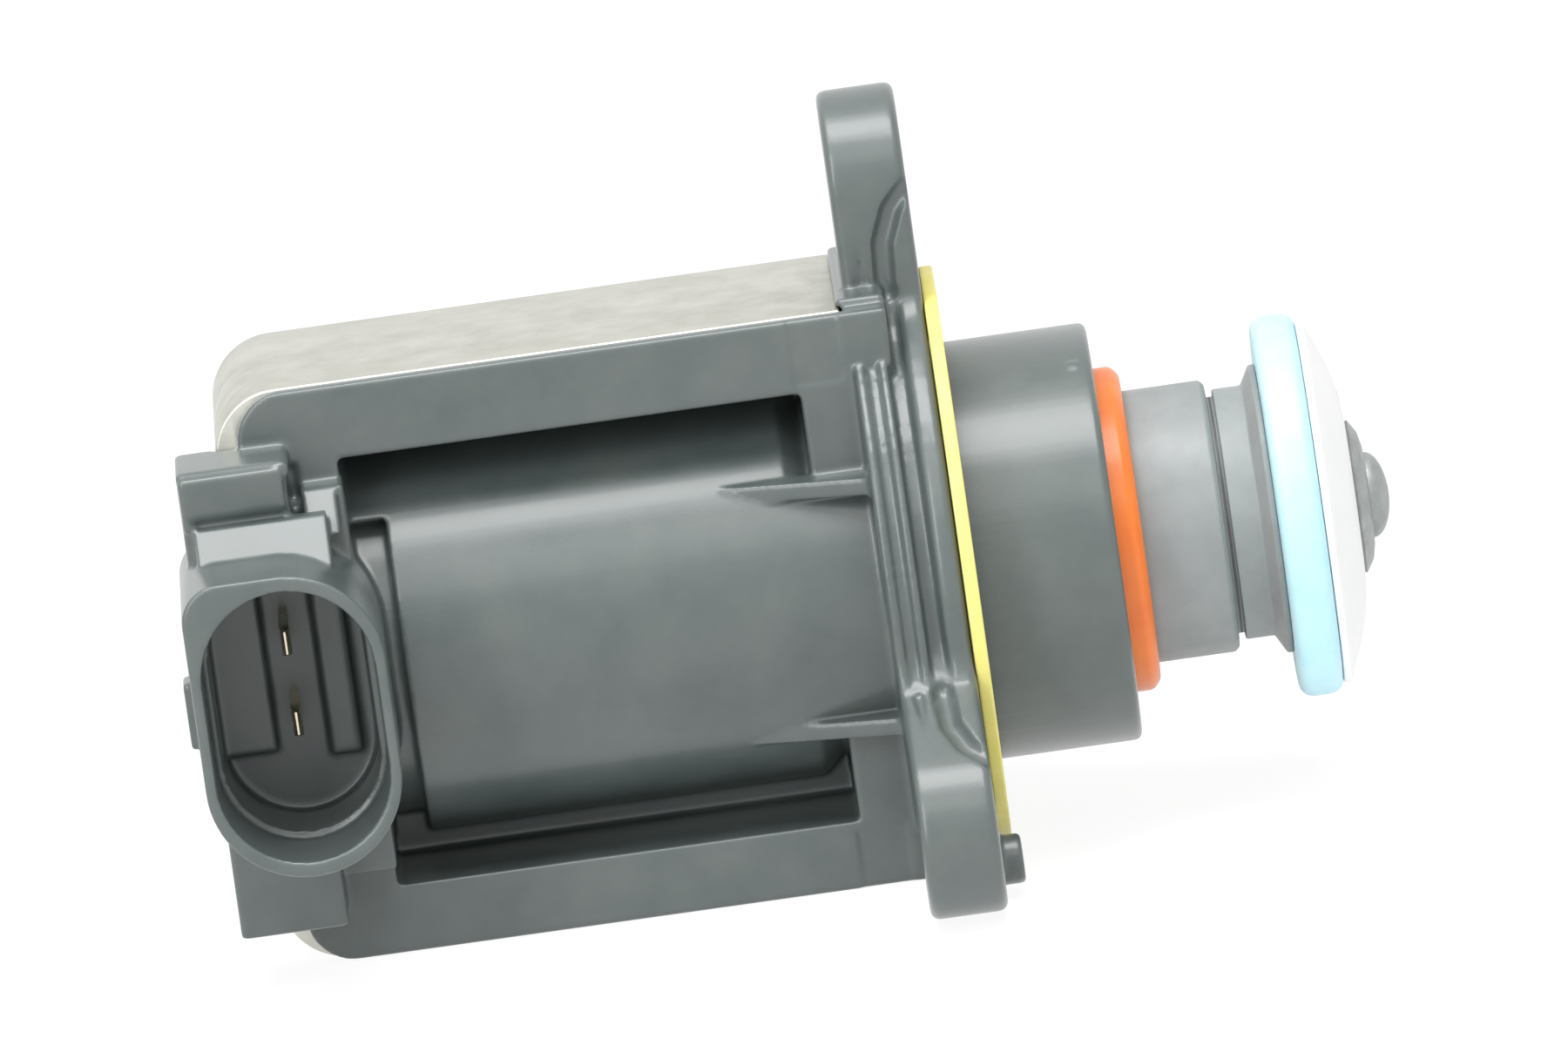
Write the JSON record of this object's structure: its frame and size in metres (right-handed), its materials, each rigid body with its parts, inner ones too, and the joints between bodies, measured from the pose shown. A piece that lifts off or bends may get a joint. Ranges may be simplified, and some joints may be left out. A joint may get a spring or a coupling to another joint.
{
  "type": "turbo boost solenoid valve",
  "caption": "Solenoid recirculation valve with an eared mounting flange, a plug socket on the side and a spring-loaded piston with a soft seal disc that slides into the nose.",
  "frame": {"origin": "centre of the flange's mating face, on the valve's axis", "axes": "+X along the valve's axis towards the nose and piston, +Z towards the single upper ear, plug socket open to -Y"},
  "size_m": [0.1016, 0.0722, 0.0649],
  "materials": {
    "moulding": "glass-filled moulding, satin",
    "zinc_steel": "zinc plated, fine rolling lines",
    "steel": "machined",
    "spool": "moulded",
    "copper": "enamelled copper wire",
    "brass": "drawn",
    "black_rubber": "moulded rubber",
    "bush_steel": "zinc plated",
    "tin": "tin plated",
    "yellow_rubber": "moulded rubber",
    "orange_rubber": "moulded rubber",
    "spring_steel": "spring wire",
    "piston_plastic": "glass-filled moulding, matte",
    "blue_rubber": "moulded rubber",
    "white_plastic": "moulded",
    "rivet_steel": "blasted grey"
  },
  "bodies": {
    "valve_body": {"housing": "moulding", "yoke_bracket": "zinc_steel", "pole_plate": "steel", "coil_bobbin": "spool", "coil_winding": "copper", "stator_core": "steel", "stop_shim": "brass", "guide_tube": "brass", "guide_o_ring": "black_rubber", "flange_bush_1": "bush_steel", "flange_bush_2": "bush_steel", "flange_bush_3": "bush_steel", "terminal_blade_1": "tin", "terminal_blade_2": "tin", "flange_gasket": "yellow_rubber", "lip_seal": "orange_rubber", "seal_retainer": "steel", "return_spring": "spring_steel"},
    "piston_assembly": {"armature": "steel", "backing_washer": "steel", "piston": "piston_plastic", "seal_disc": "blue_rubber", "disc_cap": "white_plastic", "rivet_button": "rivet_steel"}
  },
  "joints": [
    {"name": "piston_slide", "type": "slide", "parent": "valve_body", "child": "piston_assembly", "axis": [-1, 0, 0], "range_m": [0, 0.006], "stiffness_N_per_m": 600, "springref_m": -0.012, "deforming": ["return_spring"]}
  ]
}
